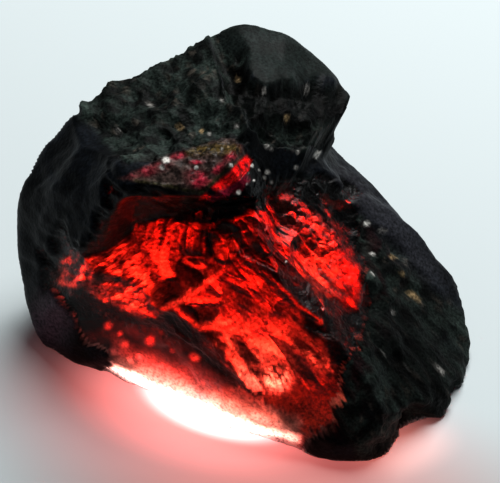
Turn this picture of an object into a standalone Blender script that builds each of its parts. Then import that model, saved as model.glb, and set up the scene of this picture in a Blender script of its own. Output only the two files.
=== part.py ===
"""A rough painite crystal: one dark, glassy, broken lump with a hollowed fracture in the side that shows.

The stone is described from its heart, a point inside it from which every part of its surface can be seen.
A ray is sent out from the heart in each direction, and the faces below say how far it goes before it leaves
the stone. The vertices of an icosphere are then moved out along those rays.

The showing side is seen from the front and 45 degrees above. Faces given "in sight" use that view: across to
the right, up the view, and toward the eye. Faces given "on the ground" use the compass of the row frame.
"""

import math

import bpy
import numpy as np

MM = 0.001

# Driving dimensions, in millimetres and degrees
SIGHT_ELEVATION = 45.0
HEART = (0.05, -0.10, 6.5)
MOST_TRIANGLES = 7600
SPHERE_SUBDIVISIONS = 7
EDGE_SHARPNESS = 90.0
VALLEY_SHARPNESS = 36.0

# How deep each kind of surface is chipped, in millimetres: worn smooth, frosted break, rough crust
SMOOTH, BROKEN, CRUST = 0.05, 0.20, 0.34

# Outline edges in sight: angle of the outward normal (0 right, 90 up the view), distance from the heart,
# depth of the rim toward the eye, lean of the front face, lean of the back face, and how it is chipped
BODY_RIM = (
    ("left_foot", 197, 11.3, -3.4, 38, 20, SMOOTH),
    ("left_side", 184, 11.35, -2.6, 40, 28, SMOOTH),
    ("left_brow", 149, 10.6, -1.8, 36, 35, SMOOTH),
    ("left_shoulder", 137, 10.4, -1.2, 33, 42, BROKEN),
    ("top_back", 114, 9.8, -2.0, 38, 48, CRUST),
    ("right_back_high", 45, 6.2, -2.8, 24, 40, SMOOTH),
    ("right_back_low", 36, 7.0, -3.0, 22, 36, SMOOTH),
    ("right_end", 14, 9.8, -3.0, 30, 30, BROKEN),
    ("right_foot", 348, 12.2, -2.4, 34, 20, CRUST),
)
KNOB_RIM = (
    ("knob_peak", 75, 10.65, -2.2, 40, 44, SMOOTH),
    ("knob_slope", 53, 9.25, -2.2, 36, 42, SMOOTH),
    ("knob_corner", 38, 8.55, -2.0, 30, 38, SMOOTH),
    ("knob_under", 333, 1.6, -1.0, 20, 10, SMOOTH),
    ("knob_crown", 119, 9.4, -2.0, 38, 48, CRUST),
    ("knob_heel", 190, 6.0, 0.0, 10, 10, CRUST),
)

# Broad faces in sight: angle, lean toward the eye, distance from the heart, how chipped
BODY_FACES = (
    ("main_fracture", 257, 75, 4.15, BROKEN),
    ("right_fracture", 27, 47, 3.6, CRUST),
    ("plate", 100, 66, 5.35, SMOOTH),
    ("top", 92, 50, 5.8, CRUST),
)
KNOB_FACES = (
    ("knob_top", 80, 46, 6.4, SMOOTH),
    ("knob_front", 292, 74, 3.6, BROKEN),
    ("knob_left", 128, 43, 5.6, BROKEN),
)

# Faces on the ground: bearing of the outward normal (0 +X, 90 +Y), tilt above the horizon, distance, chipping
BODY_SIDES = (
    ("front_band", 252, 2, 6.15, SMOOTH),
    ("left_band", 240, 2, 5.6, SMOOTH),
    ("right_band", 308, 4, 9.85, CRUST),
    ("back", 88, -4, 8.6, BROKEN),
)
KNOB_SIDES = (
    ("knob_back", 88, -2, 8.5, BROKEN),
    ("knob_root", 252, 2, 3.0, SMOOTH),
)

# The hollow is the wedge outside all these faces, given as above. The last is the wall under the plate's rim.
HOLLOW = (
    ("floor", 159, 74, 3.2),
    ("ridge_side", 144, 54, 2.8),
    ("upper_wall", 268, 42, 1.6),
)

# Large dishes broken out of the showing side: where in sight (across, up, toward), curve radius, how far it
# reaches and depth
DISHES = (
    ("basin_high", (2.6, 1.9, 4.0), 3.0, 2.6, 0.8),
    ("basin_low", (4.8, -1.0, 3.0), 4.0, 3.0, 0.7),
    ("left_pocket", (-5.9, -2.1, 2.6), 3.0, 2.6, 0.5),
    ("ridge_pocket", (-3.2, -2.2, 3.2), 3.0, 2.6, 0.4),
    ("low_scoop", (1.2, -6.5, 3.0), 3.0, 2.6, 0.5),
)

# Small chips all round: how many, the spread of their depth as a share of the face's, of their curve radius and of
# how far they reach, and how much they tilt
CHIP_COUNT = 300
CHIP_DEPTHS = (0.2, 1.4)
CHIP_RADII = (5.0, 16.0)
CHIP_SIZES = (1.5, 3.6)
CHIP_TILT = 0.20
CHIP_SEED = 7
GOLDEN_TURN = math.pi * (3 - math.sqrt(5))

# A ray must meet a face this squarely, as a cosine, for the face to be dished there
LEAST_FACING = 0.45

# A face's slope is taken from two rays this far to either side, on a ball of radius 1
SLOPE_STEP = 0.01

# Any vector that no dish points along, to lay each dish's own two directions from
ASIDE = (0.3, -0.5, 0.8)

# The least cosine between a ray and a face that it never meets, in place of zero
NEVER = 1e-6

# The look of the plain solid
BASE_COLOR = (0.030, 0.006, 0.007, 1.0)
ROUGHNESS = 0.32
PAINITE_IOR = 1.8


def sight_point(across, up, toward):
    """Row-frame vector of a place given in the showing view."""
    rise = math.radians(SIGHT_ELEVATION)
    return np.array(
        (
            across,
            up * math.sin(rise) - toward * math.cos(rise),
            up * math.cos(rise) + toward * math.sin(rise),
        )
    )


def in_sight(angle, lean):
    """Row-frame unit vector of a direction given in the showing view."""
    across = math.cos(math.radians(angle)) * math.cos(math.radians(lean))
    up = math.sin(math.radians(angle)) * math.cos(math.radians(lean))
    return sight_point(across, up, math.sin(math.radians(lean)))


def on_ground(bearing, tilt):
    """Row-frame unit vector of a compass bearing and a tilt above the horizon."""
    flat = math.cos(math.radians(tilt))
    return np.array(
        (
            flat * math.cos(math.radians(bearing)),
            flat * math.sin(math.radians(bearing)),
            math.sin(math.radians(tilt)),
        )
    )


def rim_planes(rim):
    """Each outline edge is where a front face and a back face meet: both planes pass through its rim."""
    planes = []
    for _, angle, distance, depth, front, back, chipped in rim:
        for lean in (front, -back):
            turn = math.radians(lean)
            reach = distance * math.cos(turn) + depth * math.sin(turn)
            planes.append((in_sight(angle, lean), reach, chipped))
    return planes


def body(rays):
    return lump(rays, BODY_RIM, BODY_FACES, BODY_SIDES)


def knob(rays):
    return lump(rays, KNOB_RIM, KNOB_FACES, KNOB_SIDES)


def lump(rays, rim, faces, sides):
    """Reach of a convex lump along each ray, and how chipped its surface is there.

    A ray leaves through the nearest of the planes. The nearest is taken softly, as the sum of the reaches to a
    high negative power, which wears the edges round; the same sum weighs how chipped the faces are.
    """
    planes = rim_planes(rim)
    planes += [(on_ground(bearing, tilt), distance, chipped) for _, bearing, tilt, distance, chipped in sides]
    planes += [(in_sight(angle, lean), distance, chipped) for _, angle, lean, distance, chipped in faces]
    total = np.zeros(len(rays))
    weighed = np.zeros(len(rays))
    for normal, distance, chipped in planes:
        share = (np.maximum(rays @ normal, NEVER) / distance) ** EDGE_SHARPNESS
        total += share
        weighed += share * chipped
    return total ** (-1 / EDGE_SHARPNESS), weighed / total


def slope(shape, middle, side):
    """How fast a shape's reach grows when a ray turns from the middle direction to one side."""
    pair = np.array((middle + side * SLOPE_STEP, middle - side * SLOPE_STEP))
    pair /= np.linalg.norm(pair, axis=1)[:, None]
    near, far = shape(pair)[0]
    return (near - far) / (2 * SLOPE_STEP)


def dish(rays, shape, middle, radius, size, depth, tilt):
    """Reach of a shallow bowl that follows the face it is broken out of.

    The face's normal comes from how the reach grows to each side. The bowl is the plane with that normal, tilted
    a little and set depth below the face. It rises from there as the square of the distance from its middle, and
    then as the fourth power, so that it never bites past its own size.
    """
    side = np.cross(middle, ASIDE)
    side /= np.linalg.norm(side)
    other = np.cross(middle, side)
    start = shape(middle[None])[0][0]
    normal = middle * start - side * slope(shape, middle, side) - other * slope(shape, middle, other)
    normal /= np.linalg.norm(normal)
    facing = middle @ normal
    normal += (side * tilt[0] + other * tilt[1]) * facing
    normal /= np.linalg.norm(normal)
    plane = (start * (middle @ normal) - depth * facing) / np.maximum(rays @ normal, NEVER)
    away = ((rays - middle) ** 2).sum(axis=1) * start**2
    bowl = plane + away / (2 * radius) + (away / size**2) ** 2
    return np.where(facing > LEAST_FACING, bowl, np.inf)


def chip_places():
    """Directions spread evenly over the sphere by the golden angle, as seeds on a sunflower are."""
    steps = np.arange(CHIP_COUNT)
    height = 1 - 2 * (steps + 0.5) / CHIP_COUNT
    ring = np.sqrt(1 - height**2)
    return np.column_stack((ring * np.cos(steps * GOLDEN_TURN), ring * np.sin(steps * GOLDEN_TURN), height))


def chip_all_round(rays, shape):
    """The shape's reach, less small chips spread evenly over it and as deep as its faces are chipped."""
    reach, _ = shape(rays)
    draw = np.random.default_rng(CHIP_SEED)
    for middle in chip_places():
        start, chipped = shape(middle[None])
        depth = chipped[0] * draw.uniform(*CHIP_DEPTHS)
        radius = draw.uniform(*CHIP_RADII)
        size = draw.uniform(*CHIP_SIZES)
        tilt = draw.uniform(-CHIP_TILT, CHIP_TILT, 2) * chipped[0] / CRUST
        if start[0] * -middle[2] < HEART[2]:
            reach = np.minimum(reach, dish(rays, shape, middle, radius, size, depth, tilt))
    return reach


def hollow(rays):
    """How far a ray goes before it is outside all the hollow's faces, and so comes out into the hollow."""
    enters = np.zeros(len(rays))
    for _, angle, lean, distance in HOLLOW:
        facing = rays @ in_sight(angle, lean)
        enters = np.maximum(enters, distance / np.maximum(facing, NEVER))
    return enters


def stone_reach(rays):
    """How far each ray goes: two chipped lumps grown together, less the hollow and the dishes, cut off flat."""
    grown = chip_all_round(rays, body) ** VALLEY_SHARPNESS + chip_all_round(rays, knob) ** VALLEY_SHARPNESS
    reach = grown ** (1 / VALLEY_SHARPNESS)
    reach = np.minimum(reach, hollow(rays))
    for _, place, radius, size, depth in DISHES:
        middle = sight_point(*place)
        middle /= np.linalg.norm(middle)
        reach = np.minimum(reach, dish(rays, body, middle, radius, size, depth, (0.0, 0.0)))
    floor = HEART[2] / np.maximum(-rays[:, 2], NEVER)
    return (reach**-EDGE_SHARPNESS + floor**-EDGE_SHARPNESS) ** (-1 / EDGE_SHARPNESS)


def clear_scene():
    for obj in list(bpy.data.objects):
        bpy.data.objects.remove(obj)


def painite():
    """Dark, brownish red boron mineral with a glassy lustre, near black where light doesn't pass through."""
    material = bpy.data.materials.new("painite")
    material.use_nodes = True
    shader = material.node_tree.nodes["Principled BSDF"]
    shader.inputs["Base Color"].default_value = BASE_COLOR
    shader.inputs["Roughness"].default_value = ROUGHNESS
    shader.inputs["Metallic"].default_value = 0.0
    shader.inputs["IOR"].default_value = PAINITE_IOR
    return material


def build_crystal():
    bpy.ops.mesh.primitive_ico_sphere_add(subdivisions=SPHERE_SUBDIVISIONS, radius=1.0)
    crystal = bpy.context.object
    crystal.name = "painite_crystal"
    mesh = crystal.data
    rays = np.empty(len(mesh.vertices) * 3, np.float32)
    mesh.vertices.foreach_get("co", rays)
    rays = rays.reshape(-1, 3).astype(np.float64)
    rays /= np.linalg.norm(rays, axis=1)[:, None]
    points = (rays * stone_reach(rays)[:, None] + HEART) * MM
    mesh.vertices.foreach_set("co", points.astype(np.float32).ravel())
    mesh.update()
    mesh.materials.append(painite())
    decimate = crystal.modifiers.new("fewer_faces", "DECIMATE")
    decimate.ratio = MOST_TRIANGLES / len(mesh.polygons)
    return crystal


def main():
    clear_scene()
    crystal = build_crystal()
    for home in list(crystal.users_collection):
        home.objects.unlink(crystal)
    collection = bpy.data.collections.new("painite_crystal_rough")
    bpy.context.scene.collection.children.link(collection)
    collection.objects.link(crystal)


main()
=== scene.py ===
# %% [markdown]
# # A rough painite crystal with light coming up through it
# Painite is a rare, dark, brownish red boron mineral. A rough piece looks like a lump of coal until a light
# is put under it: then the broken side glows deep red, because the crystal is clear inside and only its
# crust is black. This lesson builds one such piece as a single closed surface. Its broad faces come first,
# then its fine broken relief, then one material that is black skin in some places and clear red crystal in
# others.

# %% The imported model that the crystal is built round
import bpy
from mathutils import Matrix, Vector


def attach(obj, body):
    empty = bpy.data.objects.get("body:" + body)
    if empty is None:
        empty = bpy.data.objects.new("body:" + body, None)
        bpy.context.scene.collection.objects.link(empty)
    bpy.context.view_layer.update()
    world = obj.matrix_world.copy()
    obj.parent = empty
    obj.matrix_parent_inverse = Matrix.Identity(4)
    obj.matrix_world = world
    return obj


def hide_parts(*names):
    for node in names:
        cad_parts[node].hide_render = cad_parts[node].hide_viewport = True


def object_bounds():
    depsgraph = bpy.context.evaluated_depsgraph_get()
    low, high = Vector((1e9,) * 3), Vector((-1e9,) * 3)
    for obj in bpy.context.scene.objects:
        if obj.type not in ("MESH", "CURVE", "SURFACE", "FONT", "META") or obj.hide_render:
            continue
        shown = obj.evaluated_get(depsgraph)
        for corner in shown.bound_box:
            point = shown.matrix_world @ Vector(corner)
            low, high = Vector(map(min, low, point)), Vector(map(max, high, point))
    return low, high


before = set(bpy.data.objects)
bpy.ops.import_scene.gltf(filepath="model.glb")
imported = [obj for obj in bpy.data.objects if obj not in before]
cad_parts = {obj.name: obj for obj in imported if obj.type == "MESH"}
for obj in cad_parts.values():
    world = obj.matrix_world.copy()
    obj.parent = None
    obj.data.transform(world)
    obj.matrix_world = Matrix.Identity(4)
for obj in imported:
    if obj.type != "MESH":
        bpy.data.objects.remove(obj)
cad_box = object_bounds()
print("corners of the solid model:", [[round(x * 1000, 2) for x in corner] for corner in cad_box])

# %% Modules and the unit of the lesson
import math

import bpy
import numpy as np

MM = 0.001
DRAW_SEED = 7


def linear(code):
    """The linear colour, with full alpha, of an sRGB hex code such as "c8102e"."""
    shares = (int(code[i : i + 2], 16) / 255 for i in (0, 2, 4))
    return tuple(s / 12.92 if s <= 0.04045 else ((s + 0.055) / 1.055) ** 2.4 for s in shares) + (1.0,)


def add_node(tree, kind, inputs=None, **settings):
    """Adds a node with its settings. An input given as a socket is linked, any other is set as a value."""
    node = tree.nodes.new(kind)
    for name, value in settings.items():
        setattr(node, name, value)
    for socket, value in (inputs or {}).items():
        if isinstance(value, bpy.types.NodeSocket):
            tree.links.new(value, node.inputs[socket])
        else:
            node.inputs[socket].default_value = value
    return node

# %% [markdown]
# ## The view, and places given in it
# The crystal is looked down on from 45 degrees, so most of what is known about it is known in that view.
# Places are given in millimetres from the heart, a point inside the crystal: across to the right, up the
# view and toward the eye. One function turns such a place into the frame of the model.

# %% The showing view
SIGHT_ELEVATION = math.radians(45)
HEART = np.array((0.05, -0.10, 6.5))


def sight_point(across, up, toward):
    """The vector, in the model's frame, of a place given in the showing view."""
    return np.array(
        (
            across,
            up * math.sin(SIGHT_ELEVATION) - toward * math.cos(SIGHT_ELEVATION),
            up * math.cos(SIGHT_ELEVATION) + toward * math.sin(SIGHT_ELEVATION),
        )
    )


ACROSS = sight_point(1, 0, 0)
UP = sight_point(0, 1, 0)
TOWARD = sight_point(0, 0, 1)

# %% The camera, far away with a long lens, as for a close-up of a small stone
LENS = 200
SENSOR = 36
FRAME_WIDTH = 24.04
PICTURE_MIDDLE = (0.24, -0.07)
CLIP_START = 10

camera_data = bpy.data.cameras.new("camera")
camera_data.lens = LENS
camera_data.sensor_width = SENSOR
camera = bpy.data.objects.new("camera", camera_data)
bpy.context.scene.collection.objects.link(camera)
distance = FRAME_WIDTH * LENS / SENSOR
camera.location = (HEART + sight_point(*PICTURE_MIDDLE, distance)) * MM
camera.rotation_euler = (math.pi / 2 - SIGHT_ELEVATION, 0, 0)
camera_data.clip_start = CLIP_START * MM
bpy.context.scene.camera = camera
print("camera", round(distance, 1), "mm from the crystal")

# %% [markdown]
# ## Rays from the heart
# Every part of the surface can be seen from the heart, so the surface is one function: how far a ray goes
# before it leaves the stone. The rays are those of a cube whose six sides are grids of two parameters,
# blown up into a sphere. Unlike a globe, such a sphere has no poles where faces crowd. The rays are then
# drawn together toward the eye, so the showing side gets the finest faces.

# %% Six grids make one closed sphere of rays
GRID = 127
CROWDING = 1.35


def cube_sphere(count):
    """Rays and four-cornered faces of a sphere made of six square grids, each count faces wide.

    A point of a grid is a whole number of steps along two axes of a cube, with the third at one end. Points
    that two sides share have the same three numbers, so they become one ray. The tangent spaces the rays
    evenly.
    """
    steps = np.arange(count + 1)
    first, second = np.meshgrid(steps, steps, indexing="ij")
    points = []
    faces = []
    for axis in range(3):
        for end in (0, count):
            side = np.empty((count + 1, count + 1, 3), int)
            side[..., axis] = end
            side[..., (axis + 1) % 3] = first
            side[..., (axis + 2) % 3] = second
            index = np.arange((count + 1) ** 2).reshape(count + 1, -1) + len(points) * (count + 1) ** 2
            ring = (index[:-1, :-1], index[1:, :-1], index[1:, 1:], index[:-1, 1:])
            faces.append(np.stack(ring if end else ring[::-1], axis=-1).reshape(-1, 4))
            points.append(side.reshape(-1, 3))
    unique, where = np.unique(np.concatenate(points), axis=0, return_inverse=True)
    rays = np.tan((unique * 2 / count - 1) * math.pi / 4)
    rays /= np.linalg.norm(rays, axis=1)[:, None]
    return rays, where.reshape(-1)[np.concatenate(faces)]


def crowd(rays, middle, strength):
    """Draws rays together round a middle one: the tangent of half their angle is divided by strength."""
    along = rays @ middle
    aside = rays - along[:, None] * middle
    spread = np.linalg.norm(aside, axis=1)
    angle = 2 * np.arctan2(spread, (1 + along) * strength)
    return np.cos(angle)[:, None] * middle + aside * (np.sin(angle) / np.maximum(spread, 1e-9))[:, None]


rays, quads = cube_sphere(GRID)
rays = crowd(rays, TOWARD, CROWDING)
print(len(rays), "rays and", len(quads), "faces")

# %% [markdown]
# ## Noise and shards
# Broken crystal isn't rough like sand. It is made of shards: small flat or hollow facets that meet in sharp
# ridges. A lattice of cells is laid through the stone, each with a jittered middle and a random slope. The
# relief is the lowest, over the cells nearby, of the cell's sloping plane plus the distance to its middle
# squared.

# %% Random numbers that belong to a cell of space
HASH_PRIMES = (73856093, 19349663, 83492791)
HASH_MASK = 0xFFFFFFFF
SEED_STEP = 2654435761
FIRST_FACTOR = 2246822519
SECOND_FACTOR = 3266489917


def smooth_step(low, high, value):
    """0 below low, 1 above high, and an even S between."""
    share = np.clip((value - low) / (high - low), 0, 1)
    return share * share * (3 - 2 * share)


def cell_numbers(cells, seed, count):
    """Numbers from 0 to 1 for each cell, always the same for the same cell and seed.

    The cell's three whole numbers are mixed into one by large primes, and each further number is one more
    step of a mixing function.
    """
    mixed = ((cells.astype(np.int64) * HASH_PRIMES).sum(axis=-1) + seed * SEED_STEP) & HASH_MASK
    numbers = []
    for _ in range(count):
        mixed = (mixed ^ (mixed >> 15)) * FIRST_FACTOR & HASH_MASK
        mixed = (mixed ^ (mixed >> 13)) * SECOND_FACTOR & HASH_MASK
        mixed = mixed ^ (mixed >> 16)
        numbers.append(mixed / HASH_MASK)
    return numbers


def shards(points, size, tilt_share, bowl_share, seed):
    """Relief of facets of about one size, in millimetres, and a random tone from 0 to 1 for each facet."""
    scaled = points / size
    home = np.floor(scaled).astype(np.int64)
    relief = np.full(len(points), np.inf)
    tone = np.zeros(len(points))
    for shift in np.ndindex(3, 3, 3):
        cell = home + np.array(shift) - 1
        jitter_x, jitter_y, jitter_z, height, tilt_x, tilt_y, tilt_z, shade = cell_numbers(cell, seed, 8)
        gap = scaled - cell - np.column_stack((jitter_x, jitter_y, jitter_z))
        tilt = np.column_stack((tilt_x, tilt_y, tilt_z)) * 2 - 1
        level = height * 0.5 + (gap * tilt).sum(axis=1) * tilt_share + (gap**2).sum(axis=1) * bowl_share
        lower = level < relief
        relief = np.where(lower, level, relief)
        tone = np.where(lower, shade, tone)
    return (relief - 0.2) * size, tone


def grains(points, size, seed):
    """Rounded grains of about one size: distance to the nearest middle, distance to the border, and a tone.

    Both distances are over the size, and the tone is a random number from 0 to 1 for each grain.
    """
    scaled = points / size
    home = np.floor(scaled).astype(np.int64)
    first = np.full(len(points), np.inf)
    second = np.full(len(points), np.inf)
    tone = np.zeros(len(points))
    for shift in np.ndindex(3, 3, 3):
        cell = home + np.array(shift) - 1
        jitter_x, jitter_y, jitter_z, shade = cell_numbers(cell, seed, 4)
        gap = scaled - cell - np.column_stack((jitter_x, jitter_y, jitter_z))
        away = np.sqrt((gap**2).sum(axis=1))
        tone = np.where(away < first, shade, tone)
        second = np.minimum(second, np.maximum(first, away))
        first = np.minimum(first, away)
    return first, second - first, tone


def waves(points, size, seed):
    """Smooth noise from about -1 to 1: random slopes at the corners of a lattice, blended between them."""
    scaled = points / size
    home = np.floor(scaled).astype(np.int64)
    offset = scaled - home
    blend = offset**3 * (offset * (offset * 6 - 15) + 10)
    total = np.zeros(len(points))
    for corner in np.ndindex(2, 2, 2):
        slopes = np.column_stack(cell_numbers(home + np.array(corner), seed, 3)) * 2 - 1
        weight = np.prod(np.where(np.array(corner) == 1, blend, 1 - blend), axis=1)
        total += weight * ((offset - corner) * slopes).sum(axis=1)
    return total * 1.6


def cloudy(points, size, seed, octaves=4):
    """Waves of halving size and strength, added up."""
    return sum(waves(points, size / 2**i, seed + i) / 2**i for i in range(octaves))


def ridged(points, size, seed, octaves=3):
    """Sharp creases: one less twice the size of each wave, at halving sizes."""
    return sum((1 - 2 * np.abs(waves(points, size / 2**i, seed + i))) / 2**i for i in range(octaves))


def drawn_out(points, direction, times):
    """Space squeezed along a direction, so that a pattern in it comes out that many times longer."""
    return points - (points @ direction)[:, None] * direction * (1 - 1 / times)


def seen_direction(angle):
    """A direction across the view: 0 is right and 90 is up."""
    return sight_point(math.cos(math.radians(angle)), math.sin(math.radians(angle)), 0.0)


print("noise near the heart:", waves(np.full((1, 3), 0.3), 1.0, 1).round(3))

# %% [markdown]
# ## The broad faces
# A broken crystal is a few nearly flat faces with worn edges. Each face is a plane, and a ray leaves the
# stone through the nearest one. Taking the nearest softly, as a sum with a high negative power, wears the
# edges round. The outline is given by its edges, each with a face in front and one behind. These are the
# same faces as in the solid model, so the fine surface lies on it.

# %% Faces of the two lumps that the crystal is grown from
EDGE_SHARPNESS = 90.0
DOME_SHARPNESS = 50.0
VALLEY_SHARPNESS = 36.0
SMOOTH, BROKEN, CRUST = 0.05, 0.20, 0.34

# Name, angle of the edge's outward normal, distance, depth toward the eye, lean in front, lean behind,
# chipping
BODY_RIM = (
    ("left_foot", 197, 11.3, -3.4, 38, 20, SMOOTH),
    ("left_side", 184, 11.35, -2.6, 40, 28, SMOOTH),
    ("left_brow", 149, 10.6, -1.8, 36, 35, SMOOTH),
    ("left_shoulder", 137, 10.4, -1.2, 33, 42, BROKEN),
    ("top_back", 114, 9.8, -2.0, 38, 48, CRUST),
    ("right_back_high", 45, 6.2, -2.8, 24, 40, SMOOTH),
    ("right_back_low", 36, 7.0, -3.0, 22, 36, SMOOTH),
    ("right_end", 14, 9.8, -3.0, 30, 30, BROKEN),
    ("right_foot", 348, 12.2, -2.4, 34, 20, CRUST),
)
KNOB_RIM = (
    ("knob_peak", 75, 10.65, -2.2, 40, 44, SMOOTH),
    ("knob_slope", 53, 9.25, -2.2, 36, 42, SMOOTH),
    ("knob_corner", 38, 8.55, -2.0, 30, 38, SMOOTH),
    ("knob_under", 333, 1.6, -1.0, 20, 10, SMOOTH),
    ("knob_crown", 119, 9.4, -2.0, 38, 48, CRUST),
    ("knob_heel", 190, 6.0, 0.0, 10, 10, CRUST),
)
# Name, angle in the view, lean toward the eye, distance, chipping
BODY_FACES = (
    ("main_fracture", 257, 75, 4.15, BROKEN),
    ("right_fracture", 27, 47, 3.6, CRUST),
    ("plate", 100, 66, 5.35, SMOOTH),
    ("top", 92, 50, 5.8, CRUST),
)
KNOB_FACES = (
    ("knob_top", 80, 46, 6.4, SMOOTH),
    ("knob_front", 292, 74, 3.6, BROKEN),
    ("knob_left", 128, 43, 5.6, BROKEN),
)
# Name, compass bearing with 0 to the right and 90 to the back, tilt above the horizon, distance, chipping
BODY_SIDES = (
    ("front_band", 252, 2, 6.15, SMOOTH),
    ("left_band", 240, 2, 5.6, SMOOTH),
    ("right_band", 308, 4, 9.85, CRUST),
    ("back", 88, -4, 8.6, BROKEN),
)
KNOB_SIDES = (
    ("knob_back", 88, -2, 8.5, BROKEN),
    ("knob_root", 252, 2, 3.0, SMOOTH),
)


def in_sight(angle, lean):
    """A unit vector by its angle in the view, 0 right and 90 up, and its lean toward the eye, in degrees."""
    turn = math.radians(angle)
    rise = math.radians(lean)
    return sight_point(math.cos(turn) * math.cos(rise), math.sin(turn) * math.cos(rise), math.sin(rise))


def on_ground(bearing, tilt):
    """A unit vector given by its compass bearing and its tilt above the horizon, in degrees."""
    turn = math.radians(bearing)
    rise = math.radians(tilt)
    return np.array((math.cos(turn) * math.cos(rise), math.sin(turn) * math.cos(rise), math.sin(rise)))


def planes_of(rim, faces, sides):
    """Normal, distance and chipping of every plane of a lump. An edge's two planes both pass through it."""
    planes = []
    for _, angle, away, depth, front, back, chipped in rim:
        for lean in (front, -back):
            reach = away * math.cos(math.radians(lean)) + depth * math.sin(math.radians(lean))
            planes.append((in_sight(angle, lean), reach, chipped))
    planes += [(in_sight(angle, lean), away, chipped) for _, angle, lean, away, chipped in faces]
    planes += [(on_ground(bearing, tilt), away, chipped) for _, bearing, tilt, away, chipped in sides]
    return planes


def lump_reach(rays, planes):
    """Reach and chipping along each ray: the soft nearest of distance / cosine over all the planes.

    The knob is worn rounder than the body, so its planes are joined more softly.
    """
    sharpness = DOME_SHARPNESS if planes is KNOB else EDGE_SHARPNESS
    total = np.zeros(len(rays))
    weighed = np.zeros(len(rays))
    for normal, away, chipped in planes:
        share = (np.maximum(rays @ normal, 1e-9) / away) ** sharpness
        total += share
        weighed += share * chipped
    return total ** (-1 / sharpness), weighed / total


BODY = planes_of(BODY_RIM, BODY_FACES, BODY_SIDES)
KNOB = planes_of(KNOB_RIM, KNOB_FACES, KNOB_SIDES)
print(len(BODY), "planes in the body and", len(KNOB), "in the knob")

# %% [markdown]
# ## Chips
# A brittle stone chips: flat flakes come off wherever it was knocked, and leave shallow bowls that meet in
# sharp ridges. One bowl is the plane of the face it came from, set a little deeper and tilted, and it rises
# with the distance from its middle. Taking the lower of the face and the bowl cuts it out. A few hundred of
# them, spread by the golden angle, cover the stone evenly without a pattern.

# %% Bowls broken out of a lump
CHIP_COUNT = 300
CHIP_DEPTHS = (0.2, 1.4)
CHIP_RADII = (5.0, 16.0)
CHIP_SIZES = (1.5, 3.6)
CHIP_TILT = 0.20
LEAST_FACING = 0.45
SLOPE_STEP = 0.01
# A direction that no bowl's middle lies along, so that a side can be square to both
ODD_DIRECTION = (0.3, -0.5, 0.8)


def slope(planes, middle, side):
    """How fast a lump's reach grows when a ray turns from the middle direction to one side."""
    pair = np.array((middle + side * SLOPE_STEP, middle - side * SLOPE_STEP))
    pair /= np.linalg.norm(pair, axis=1)[:, None]
    near, far = lump_reach(pair, planes)[0]
    return (near - far) / (2 * SLOPE_STEP)


def bowl(rays, planes, middle, radius, size, depth, tilt):
    """Reach of a shallow bowl: a tilted plane under the face, plus distance to the powers two and four."""
    side = np.cross(middle, ODD_DIRECTION)
    side /= np.linalg.norm(side)
    other = np.cross(middle, side)
    start = lump_reach(middle[None], planes)[0][0]
    normal = middle * start - side * slope(planes, middle, side) - other * slope(planes, middle, other)
    normal /= np.linalg.norm(normal)
    facing = middle @ normal
    normal += (side * tilt[0] + other * tilt[1]) * facing
    normal /= np.linalg.norm(normal)
    plane = (start * (middle @ normal) - depth * facing) / np.maximum(rays @ normal, 1e-6)
    away = ((rays - middle) ** 2).sum(axis=1) * start**2
    cut = plane + away / (2 * radius) + (away / size**2) ** 2
    return np.where(facing > LEAST_FACING, cut, np.inf)


def chipped_reach(rays, planes):
    """A lump's reach less its chips, which are as deep as its faces are chipped."""
    steps = np.arange(CHIP_COUNT)
    height = 1 - 2 * (steps + 0.5) / CHIP_COUNT
    turn = steps * math.pi * (3 - math.sqrt(5))
    ring = np.sqrt(1 - height**2)
    middles = np.column_stack((ring * np.cos(turn), ring * np.sin(turn), height))
    starts, chipped = lump_reach(middles, planes)
    reach, _ = lump_reach(rays, planes)
    draw = np.random.default_rng(DRAW_SEED)
    for middle, start, share in zip(middles, starts, chipped):
        depth = share * draw.uniform(*CHIP_DEPTHS)
        radius = draw.uniform(*CHIP_RADII)
        size = draw.uniform(*CHIP_SIZES)
        tilt = draw.uniform(-CHIP_TILT, CHIP_TILT, 2) * share / CRUST
        if start * -middle[2] < HEART[2]:
            reach = np.minimum(reach, bowl(rays, planes, middle, radius, size, depth, tilt))
    return reach

# %% The hollow, the large dishes and the flat rest
# Name, angle in the view, lean toward the eye, distance
HOLLOW = (
    ("floor", 159, 74, 3.2),
    ("ridge_side", 144, 54, 2.8),
    ("upper_wall", 268, 42, 1.6),
)
# Name, place in the view, curve radius, how far it reaches, depth
DISHES = (
    ("basin_high", (2.6, 1.9, 4.0), 3.0, 2.6, 0.8),
    ("basin_low", (4.8, -1.0, 3.0), 4.0, 3.0, 0.7),
    ("left_pocket", (-5.9, -2.1, 2.6), 3.0, 2.6, 0.5),
    ("ridge_pocket", (-3.2, -2.2, 3.2), 3.0, 2.6, 0.4),
    ("low_scoop", (1.2, -6.5, 3.0), 3.0, 2.6, 0.5),
)


def hollow_reach(rays):
    """How far a ray goes before it is outside all the hollow's faces, and so comes out into the hollow."""
    enters = np.zeros(len(rays))
    for _, angle, lean, away in HOLLOW:
        enters = np.maximum(enters, away / np.maximum(rays @ in_sight(angle, lean), 1e-6))
    return enters


def broad_reach(rays, bent_rays):
    """The stone down to its chips and dishes: the soft further of two lumps, less hollow and dishes."""
    grown = sum(chipped_reach(bent_rays, planes) ** VALLEY_SHARPNESS for planes in (BODY, KNOB))
    reach = np.minimum(grown ** (1 / VALLEY_SHARPNESS), hollow_reach(rays))
    for _, place, radius, size, depth in DISHES:
        middle = sight_point(*place)
        middle /= np.linalg.norm(middle)
        reach = np.minimum(reach, bowl(rays, BODY, middle, radius, size, depth, (0.0, 0.0)))
    return reach


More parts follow.
